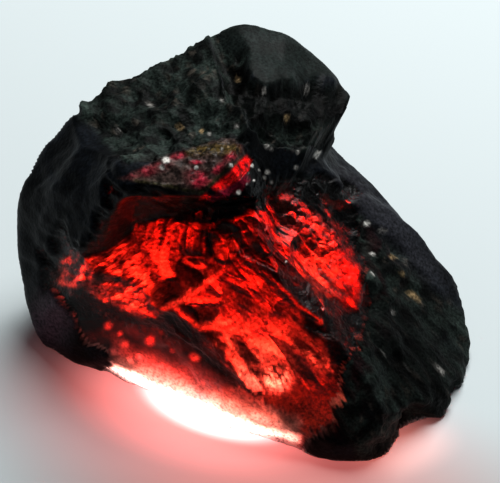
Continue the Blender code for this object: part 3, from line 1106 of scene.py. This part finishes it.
# Painted shade: the crust is painted darker where its relief sinks
hollow_shading = smooth_step(-0.10, 0.12, 0.6 * crust_relief + 0.7 * crumb_relief)
crust_color = cloudy_colors(CRUST_COLORS, 0.9, 63) * (0.55 + 0.45 * hollow_shading)[:, None]
crust_color = blend(crust_color, cloudy_colors(GRAIN_COLORS, 0.5, 64), loose * 0.8)
under_red = np.exp(-(((clear_depth + 14) / 16) ** 2)) * smooth_step(0.0, 0.35, cloudy(places, 0.8, 65, 3))
crust_color = blend(crust_color, paint(RED_TINGE), 0.8 * under_red * EYE_SIDE)
# On the knob's dome the skin colour holds a painted sheen
skin = blend(cloudy_colors(SKIN_COLORS, 1.6, 66), cloudy_colors(DOME_COLORS_AND_SHEEN, 1.3, 67), dome)
skin = blend(skin, crust_color, crust)
# Painted shade under the knob: the skin there is darkened
skin *= (1 - 0.9 * under_dome * smooth_step(*UNDER_DOME_PAINTED_SHADE, y))[:, None]
# Painted shade on the skin
for spot in PAINTED_SHADE_SPOTS:
    skin = skin * (1 - patch(x, y, spot) * EYE_SIDE)[:, None]
# Painted sheen on the skin
for _, middle, length, width, turn, code in PAINTED_SHEENS:
    sheen = patch(x, y, ("sheen", middle, length, width, turn, 1.0)) * EYE_SIDE
    skin = blend(skin, paint(code), (1 - crust * 0.5) * sheen)
print("skin colours up to", skin.max().round(3))

# %% The flake, its gold rim, the black corner beside it, and a strip of painted red glow
LEAF_COLORS = ("2c2422", "4a3c38")
LEAF_RED = "942838"
DIM_STRIP_COLOR = "6c1428"
# The strip below the flake's rim is painted bright red: a painted glow for light coming through it
STRIP_PAINTED_GLOW = "ff1c1c"
RIM_COLORS = ("26241a", "3c3824")
GOLD_PATH = ((190, 151), (205, 148), (222, 149), (236, 149))
GOLD_COLORS = ("2a2418", "544627")
CORNER_COLOR = "050506"
# Name, middle, half length, half width, turn, strength
LEAF_WINDOWS = (
    ("window_low", (200, 180), 13, 8, -20, 1.0),
    ("window_right", (233, 154), 11, 5, 45, 0.9),
    ("window_top", (178, 156), 8, 3.5, 10, 0.8),
    ("window_line", (196, 162), 8, 2, 0, 0.8),
    ("window_middle", (217, 170), 9, 4, 40, 0.7),
    ("window_tail", (146, 170), 20, 6, 15, 0.6),
)
rim = worn_rim()
gold = np.exp(-(((near_path(x, y, GOLD_PATH) + ragged) / 5.0) ** 2)) * leaf
leaf_color = cloudy_colors(LEAF_COLORS, 0.35, 71, 0.25)
windows = np.clip(spots(LEAF_WINDOWS) * (0.95 + 0.9 * cloudy(places, 0.5, 72, 3)), 0, 1)
leaf_color = blend(leaf_color, paint(LEAF_RED), windows)
leaf_color = blend(leaf_color, cloudy_colors(RIM_COLORS, 0.25, 73, 0.2), np.clip(rim * 1.2, 0, 1))
leaf_color = blend(leaf_color, cloudy_colors(GOLD_COLORS, 0.2, 74, 0.3), np.clip(gold * 1.1, 0, 1))
skin = blend(skin, leaf_color, leaf)
skin = blend(skin, paint(CORNER_COLOR), corner)
dim_strip = within(DIM_STRIP_OUTLINE, ragged) * (1 - strip)
skin = blend(skin, paint(DIM_STRIP_COLOR), dim_strip * (0.6 + 0.4 * smooth_step(-0.3, 0.3, streak)))
# Painted glow: the strip is painted bright red, as if lit through from below
skin = blend(skin, paint(STRIP_PAINTED_GLOW), strip * smooth_step(-0.6, 0.1, streak))
print("flake on", int(leaf.sum()), "points")

# %% Pale grains and painted glints: partly grey and tan grains, partly painted glints of clean crystal faces
GRAIN_AND_GLINT_PAINTS = {"white": "bcbab4", "grey": "7c7a76", "tan": "7c6a4e"}
# Name, middle in the picture, radius, colour
GRAINS_AND_PAINTED_GLINTS = (
    ("flake_grain_1", (166, 160), 3.4, "white"), ("flake_grain_2", (162, 167), 2.8, "grey"),
    ("gold_grain_1", (222, 149), 1.8, "white"), ("gold_grain_2", (228, 147), 1.6, "tan"),
    ("rim_grain", (231, 165), 1.5, "white"), ("flake_spark", (196, 168), 1.4, "white"),
    ("corner_spark_1", (239, 192), 2.4, "white"), ("corner_spark_2", (252, 166), 1.5, "white"),
    ("corner_spark_3", (249, 173), 1.3, "grey"), ("corner_spark_4", (254, 181), 1.3, "white"),
    ("corner_spark_5", (259, 170), 1.2, "grey"), ("corner_spark_6", (247, 184), 1.2, "grey"),
    ("neck_grain_1", (267, 146), 2.8, "grey"), ("neck_grain_2", (271, 149), 2.0, "grey"),
    ("neck_grain_3", (268, 172), 2.4, "grey"), ("neck_grain_4", (265, 178), 2.0, "grey"),
    ("neck_grain_5", (272, 183), 2.2, "white"), ("neck_grain_6", (316, 155), 2.6, "white"),
    ("neck_grain_7", (298, 152), 2.0, "grey"), ("neck_grain_8", (296, 168), 2.4, "grey"),
    ("dome_grain_1", (306, 89), 3.0, "grey"), ("dome_grain_2", (264, 90), 2.4, "grey"),
    ("dome_grain_3", (286, 118), 3.0, "tan"), ("right_grain_1", (366, 224), 2.4, "white"),
    ("right_grain_2", (382, 230), 3.0, "grey"), ("right_grain_3", (373, 254), 1.9, "white"),
    ("right_grain_4", (392, 257), 2.2, "tan"), ("right_grain_5", (372, 274), 1.5, "white"),
    ("right_grain_6", (412, 294), 3.6, "tan"), ("right_grain_7", (418, 300), 2.8, "tan"),
    ("right_grain_8", (403, 275), 2.0, "tan"), ("right_grain_9", (392, 312), 1.8, "grey"),
    ("right_grain_10", (430, 330), 2.2, "grey"), ("right_grain_11", (408, 366), 2.0, "grey"),
    ("right_grain_12", (384, 352), 1.6, "grey"), ("right_grain_13", (442, 372), 2.4, "grey"),
    ("face_spark_1", (286, 261), 1.8, "white"), ("face_spark_2", (323, 309), 1.2, "white"),
    ("crust_grain_1", (180, 127), 3.6, "tan"), ("crust_grain_2", (118, 131), 2.4, "grey"),
    ("crust_grain_3", (209, 134), 2.0, "grey"), ("crust_grain_4", (202, 131), 2.2, "tan"),
    ("crust_grain_5", (236, 126), 2.8, "grey"), ("crust_grain_6", (150, 105), 2.2, "grey"),
    ("crust_grain_7", (222, 100), 2.2, "grey"), ("crust_grain_8", (238, 80), 2.4, "tan"),
)
glint = np.zeros(len(points))
glint_color = np.zeros((len(points), 3))
for _, (glint_x, glint_y), radius, finish in GRAINS_AND_PAINTED_GLINTS:
    share = np.exp(-((np.hypot(x - glint_x, y - glint_y) + ragged * 0.5) / radius) ** 4) * EYE_SIDE
    glint_color = blend(glint_color, paint(GRAIN_AND_GLINT_PAINTS[finish]), (share > glint).astype(float))
    glint = np.maximum(glint, share)
glint = np.where(glint > 0.05, glint, 0.0)
skin = blend(skin, glint_color, glint)
print("glinting points", int((glint > 0.5).sum()))

# %% [markdown]
# ## Painite
# One material is all of it, because it is one stone. Where the crystal is bare it is a dielectric of IOR
# 1.8 that lets light through, and the light loses its green and blue on the way: that is a volume
# absorption, worked out so that 8 mm of crystal keep more than half of the red and a fiftieth of the green.
# Where the skin lies on it, the surface is nearly black and lets nothing through. What the eye gets is a
# glow that has no place on the surface, next to a black that hardly shines.
#
# The broken face is frosted. Its roughness spreads each ray over many directions, so that some of them find
# the way out below. Through a smooth face a ray meets the skin from inside, and the place looks black. How
# much light a place lets out is kept on its points. A clear surface tints light by the square root of its
# colour, so that share is squared before it is kept.

# %% Numbers kept on the points for the material
# How much light the broken face lets out at a brightness of one
LIGHT_SHARE = 0.40
# Size of the clear and cloudy places of the underside, in millimetres
WINDOW_SIZE = 2.2
# Millimetres above the table between which the underside begins
UNDERSIDE_HEIGHT = (0.20, 0.05)
# Colour of the painted shade that covers the crack under the flake and in two gaps
SHADE_COVER_COLOR = "120406"
# Painted shade: where the crack lies in shade it is painted over dark. Name, middle, half length, half width,
# turn, strength
SHADE_COVER_SPOTS = (
    ("hollow_ridge", (284, 236), 12, 6, -50, 0.7),
    ("basin_gap", (300, 252), 14, 4, -50, 0.6),
)
# Low down and at the right the way through the crystal is short, and absorption alone leaves the light
# pink. The surface is tinted there, over these pixels down and across, but not where the stone shows orange
DEEP_RED = "ff3820"
DEEP_RED_FROM = (340, 385)
DEEP_RED_RIGHT = (318, 346)
ORANGE_SPOTS = (("orange_patch", (246, 376), 16, 10, -50, 1.0), ("orange_grains", (276, 377), 15, 12, 0, 1.0))
# The band is tinted less, and only from these pixels above the line of its foot, which slants
BAND_RED = "ff7a8c"
BAND_RED_FROM = (22, 40)
FOOT_LEFT = (100, 385)
FOOT_SLOPE = 0.32
# The foot of the band glows white: over these millimetres above the table, and from these pixels across
FOOT_LIGHT = 1.2
FOOT_GLOW_FROM = (1.3, 0.3)
FOOT_GLOW_LEFT = (95, 140)
MOST_LIGHT = 1.4
SKIN_ROUGHNESS = 0.46
FACE_ROUGHNESS = 0.38
UNDERSIDE_ROUGHNESS = 0.65


def store(name, values):
    """Keeps one number for each point of the crystal, for the material to read."""
    mesh.attributes.new(name, "FLOAT", "POINT").data.foreach_set("value", values.astype(np.float32))


def store_color(name, values):
    """Keeps one colour for each point of the crystal, for the material to read."""
    colors = np.column_stack((values, np.ones(len(values)))).astype(np.float32)
    mesh.attributes.new(name, "FLOAT_COLOR", "POINT").data.foreach_set("color", colors.ravel())


underside = smooth_step(*UNDERSIDE_HEIGHT, points[:, 2])
window = smooth_step(-0.25, 0.15, cloudy(places, WINDOW_SIZE, 51, 3))
face_light = light * LIGHT_SHARE
# Painted shade: under the flake and in the gaps the crack is covered dark
shade_cover = np.clip(within(UNDER_LEAF_OUTLINE, ragged * 2) * 0.8 + spots(SHADE_COVER_SPOTS), 0, 1) * clear
shade_cover *= 1 - smooth_step(0.6, 1.1, texture_light)
see_through = np.maximum(clear, underside) * (1 - glint) * (1 - shade_cover)
whole = smooth_step(0.1, 0.5, see_through)
store("clear", smooth_step(0.5, 1.0, see_through))
skin = blend(skin, paint(SHADE_COVER_COLOR), shade_cover)
inner_light = np.minimum((face_light * (1 - underside) + underside * (0.15 + 0.85 * window)) ** 2, MOST_LIGHT)
deep_red = np.maximum(smooth_step(*DEEP_RED_FROM, y), smooth_step(*DEEP_RED_RIGHT, x))
deep_red *= clear * (1 - band) * (1 - underside)
for spot in ORANGE_SPOTS:
    deep_red *= 1 - patch(x, y, spot)
tint = 1 - deep_red[:, None] * (1 - paint(DEEP_RED))
above_foot = FOOT_LEFT[1] + FOOT_SLOPE * (x - FOOT_LEFT[0]) - y
tint *= 1 - (band * smooth_step(*BAND_RED_FROM, above_foot))[:, None] * (1 - paint(BAND_RED))
foot_glow = band * smooth_step(*FOOT_GLOW_FROM, points[:, 2]) * smooth_step(*FOOT_GLOW_LEFT, x)
inner_light = np.maximum(inner_light, FOOT_LIGHT * foot_glow)
store_color("light", inner_light[:, None] * tint)
store("whole", whole)
rough_skin = SKIN_ROUGHNESS - 0.20 * plate + 0.08 * crust + 0.04 * dome
rough_face = FACE_ROUGHNESS * whole - 0.02 * band + UNDERSIDE_ROUGHNESS * underside
store("rough", rough_skin * (1 - whole) + rough_face)
store("texture", 0.35 + 0.45 * crust + 0.35 * clear * (1 - band) - 0.25 * band)
store_color("skin", skin)
print("points that let light through:", int(whole.sum()))

# %% The material
IOR = 1.8
ABSORPTION_COLOR = (0.90, 0.30, 0.15, 1.0)
ABSORPTION_DENSITY = 700
SPECULAR_LEVEL = 0.08
SPECULAR_TINT = (0.12, 0.12, 0.12, 1.0)
SPECKLE_SCALE = 7000.0
MOTTLE_SCALE = 900.0
GRIT_SCALE = 5200.0
BUMP_DISTANCE = 0.05 * MM


def span(low, high, new_low, new_high):
    """Inputs of a Map Range node: values from low to high become new_low to new_high."""
    return {"From Min": low, "From Max": high, "To Min": new_low, "To Max": new_high}


painite = bpy.data.materials.new("painite, rough with a black crust")
painite.use_nodes = True
tree = painite.node_tree
shader = tree.nodes["Principled BSDF"]
output = tree.nodes["Material Output"]
place = add_node(tree, "ShaderNodeTexCoord").outputs["Object"]
kept = {
    name: add_node(tree, "ShaderNodeAttribute", attribute_name=name)
    for name in ("clear", "light", "whole", "rough", "texture", "skin")
}

# Noise at 7000 a metre is specks of 0.14 mm, at 900 a metre clouds of 1.1 mm, and grit cells are 0.2 mm
speckle = add_node(
    tree, "ShaderNodeTexNoise", {"Vector": place, "Scale": SPECKLE_SCALE, "Detail": 3.0}
).outputs[0]
mottle = add_node(
    tree, "ShaderNodeTexNoise", {"Vector": place, "Scale": MOTTLE_SCALE, "Detail": 4.0}
).outputs[0]
grit = add_node(tree, "ShaderNodeTexVoronoi", {"Vector": place, "Scale": GRIT_SCALE}).outputs["Distance"]

skin_shade = add_node(tree, "ShaderNodeMapRange", {"Value": speckle, **span(0.35, 0.65, 0.45, 1.5)})
skin_color = add_node(
    tree, "ShaderNodeVectorMath", {0: kept["skin"].outputs["Color"], "Scale": skin_shade.outputs[0]},
    operation="SCALE",
)
light_shade = add_node(tree, "ShaderNodeMapRange", {"Value": speckle, **span(0.34, 0.64, 0.22, 1.60)})
shaded_light = add_node(
    tree, "ShaderNodeVectorMath", {0: kept["light"].outputs["Color"], "Scale": light_shade.outputs[0]},
    operation="SCALE",
)
crystal_color = add_node(
    tree, "ShaderNodeVectorMath", {0: shaded_light.outputs[0], 1: (1.0, 1.0, 1.0)}, operation="MINIMUM"
)
color = add_node(
    tree, "ShaderNodeMix",
    {0: kept["whole"].outputs["Fac"], 6: skin_color.outputs[0], 7: crystal_color.outputs[0]},
    data_type="RGBA",
)
uneven = add_node(tree, "ShaderNodeMapRange", {"Value": mottle, **span(0.3, 0.7, -0.06, 0.08)})
roughness = add_node(
    tree, "ShaderNodeMath", {0: kept["rough"].outputs["Fac"], 1: uneven.outputs[0]}, operation="ADD",
    use_clamp=True,
)
height = add_node(tree, "ShaderNodeMath", {0: grit, 1: -0.5, 2: speckle}, operation="MULTIPLY_ADD")
bump = add_node(
    tree, "ShaderNodeBump",
    {"Height": height.outputs[0], "Strength": kept["texture"].outputs["Fac"], "Distance": BUMP_DISTANCE},
)
absorb = add_node(
    tree, "ShaderNodeVolumeAbsorption", {"Color": ABSORPTION_COLOR, "Density": ABSORPTION_DENSITY}
)
tree.links.new(color.outputs[2], shader.inputs["Base Color"])
tree.links.new(kept["clear"].outputs["Fac"], shader.inputs["Transmission Weight"])
tree.links.new(roughness.outputs[0], shader.inputs["Roughness"])
tree.links.new(bump.outputs["Normal"], shader.inputs["Normal"])
tree.links.new(absorb.outputs["Volume"], output.inputs["Volume"])
shader.inputs["IOR"].default_value = IOR
shader.inputs["Specular IOR Level"].default_value = SPECULAR_LEVEL
shader.inputs["Specular Tint"].default_value = SPECULAR_TINT
mesh.materials.append(painite)
print("painite has", len(tree.nodes), "nodes")

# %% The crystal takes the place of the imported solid
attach(crystal, "root")
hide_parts("painite_crystal")

# %% [markdown]
# ## The floor and the light
# The crystal lies on a pale floor with painted shade, a little warmer and darker toward the front. A patch of
# the floor under the stone is lit from below: white where it is bare, and painted red light where its light
# has first been through the stone. A large soft lamp stands high behind, so the front of the stone stays dark
# and the red shows.

# %% Floor
FLOOR_SIZE = 800
GLOW_SIZE = 40
FLOOR_HEIGHT = -0.03
FLOOR_COLOR = "bcc4c5"
# Painted shade on the floor: toward the front it is mixed, in an oval, toward this warmer and darker colour
SHADE_COLOR = "96807c"
SHADE_MIDDLE = (2.0, -11.5)
SHADE_HALF = (17.0, 8.0)
FLOOR_ROUGHNESS = 0.7
FLOOR_SPECULAR = 0.1


def square(side):
    """The corners of a level square at the floor's height: half a side from the middle, counted round."""
    half = side / 2
    signs = ((-1, -1), (1, -1), (1, 1), (-1, 1))
    return [(across * half, along * half, FLOOR_HEIGHT) for across, along in signs]


def floor_piece(name, corners, faces):
    """An object from corners in millimetres and the faces between them."""
    sheet = bpy.data.meshes.new(name)
    sheet.from_pydata([tuple(c * MM for c in corner) for corner in corners], [], faces)
    piece = bpy.data.objects.new(name, sheet)
    bpy.context.scene.collection.objects.link(piece)
    return piece


frame_faces = [(i, (i + 1) % 4, 4 + (i + 1) % 4, 4 + i) for i in range(4)]
floor = floor_piece("floor", square(FLOOR_SIZE) + square(GLOW_SIZE), frame_faces)
floor_paint = bpy.data.materials.new("matt white board")
floor_paint.use_nodes = True
tree = floor_paint.node_tree
shader = tree.nodes["Principled BSDF"]
shader.inputs["Base Color"].default_value = linear(FLOOR_COLOR)
shader.inputs["Roughness"].default_value = FLOOR_ROUGHNESS
shader.inputs["Specular IOR Level"].default_value = FLOOR_SPECULAR
floor.data.materials.append(floor_paint)
print("floor", FLOOR_SIZE, "mm wide")

# %% The light under the crystal, as soft ovals on the floor
# Name, middle, half sizes, turn, where it starts to fade, colour and strength
GLOW_SPOTS = (
    ("under the crystal", (0.6, -0.3), (9.0, 5.6), -20, 0.80, (1.0, 1.0, 1.0), 30.0),
    ("bare in front", (-1.4, -4.8), (4.6, 2.3), -26, 0.0, (1.0, 0.78, 0.78), 7.0),
    ("red halo", (-2.6, -4.9), (7.8, 4.4), -24, 0.10, (1.0, 0.30, 0.28), 1.25),
    ("pink halo", (-0.6, -6.6), (14.5, 8.5), -18, 0.0, (1.0, 0.26, 0.24), 0.75),
    ("warm patch at the right", (7.6, -7.6), (3.4, 2.2), 20, 0.2, (1.0, 0.36, 0.28), 0.30),
)

glow = floor_piece("glow", square(GLOW_SIZE), [(0, 1, 2, 3)])
glow_paint = floor_paint.copy()
glow_paint.name = "matt white board lit from below"
tree = glow_paint.node_tree
shader = tree.nodes["Principled BSDF"]
place = add_node(tree, "ShaderNodeTexCoord").outputs["Object"]
# Painted shade toward the front of the floor
shade_place = add_node(
    tree, "ShaderNodeMapping",
    {
        "Vector": place,
        "Location": (SHADE_MIDDLE[0] * MM, SHADE_MIDDLE[1] * MM, 0.0),
        "Scale": (SHADE_HALF[0] * MM, SHADE_HALF[1] * MM, 1.0),
    },
    vector_type="TEXTURE",
)
shade_away = add_node(tree, "ShaderNodeVectorMath", {0: shade_place.outputs[0]}, operation="LENGTH")
shade = add_node(
    tree, "ShaderNodeMapRange", {"Value": shade_away.outputs["Value"], "From Min": 1.0, "From Max": 0.1},
    interpolation_type="SMOOTHSTEP",
)
board = add_node(
    tree, "ShaderNodeMix", {0: shade.outputs[0], 6: linear(FLOOR_COLOR), 7: linear(SHADE_COLOR)},
    data_type="RGBA",
)
tree.links.new(board.outputs[2], shader.inputs["Base Color"])
total = None
for _, middle, half, turn, inner, tint, strength in GLOW_SPOTS:
    centred = add_node(
        tree, "ShaderNodeMapping",
        {
            "Vector": place,
            "Location": (middle[0] * MM, middle[1] * MM, 0.0),
            "Rotation": (0.0, 0.0, math.radians(turn)),
            "Scale": (half[0] * MM, half[1] * MM, 1.0),
        },
        vector_type="TEXTURE",
    )
    away = add_node(tree, "ShaderNodeVectorMath", {0: centred.outputs[0]}, operation="LENGTH")
    share = add_node(
        tree, "ShaderNodeMapRange", {"Value": away.outputs["Value"], "From Min": 1.0, "From Max": inner},
        interpolation_type="SMOOTHSTEP",
    )
    lit = add_node(
        tree, "ShaderNodeVectorMath", {0: tuple(c * strength for c in tint), "Scale": share.outputs[0]},
        operation="SCALE",
    )
    if total is None:
        total = lit
    else:
        sockets = {0: total.outputs[0], 1: lit.outputs[0]}
        total = add_node(tree, "ShaderNodeVectorMath", sockets, operation="ADD")
tree.links.new(total.outputs[0], shader.inputs["Emission Color"])
shader.inputs["Emission Strength"].default_value = 1.0
glow.data.materials.append(glow_paint)
print(len(GLOW_SPOTS), "ovals of light on the floor")

# %% Soft studio light
SKY_COLOR = "eef4ff"
SKY_STRENGTH = 0.10
LAMP_PLACE = (48, 108, 165)
LAMP_SIZE = 160
LAMP_ENERGY = 0.78

world = bpy.data.worlds.new("studio")
world.use_nodes = True
world.node_tree.nodes["Background"].inputs["Color"].default_value = linear(SKY_COLOR)
world.node_tree.nodes["Background"].inputs["Strength"].default_value = SKY_STRENGTH
bpy.context.scene.world = world

lamp_data = bpy.data.lights.new("softbox", "AREA")
lamp_data.shape = "DISK"
lamp_data.size = LAMP_SIZE * MM
lamp_data.energy = LAMP_ENERGY
lamp = bpy.data.objects.new("softbox", lamp_data)
lamp.location = np.array(LAMP_PLACE) * MM
toward_stone = -np.array(LAMP_PLACE, float)
bearing = math.atan2(toward_stone[1], toward_stone[0])
fall = math.acos(-toward_stone[2] / np.linalg.norm(toward_stone))
lamp.rotation_euler = (fall, 0, bearing - math.pi / 2)
bpy.context.scene.collection.objects.link(lamp)
print("softbox", LAMP_SIZE, "mm wide,", round(float(np.linalg.norm(toward_stone))), "mm away")

# %% [markdown]
# ## How the picture is developed
# The red must stay pure red where it is brightest, so the plain sRGB curve is used, with a gamma a little
# under one for the deep blacks of a close-up.

# %% Developing the picture
bpy.context.scene.view_settings.view_transform = "Standard"
bpy.context.scene.view_settings.gamma = 0.85
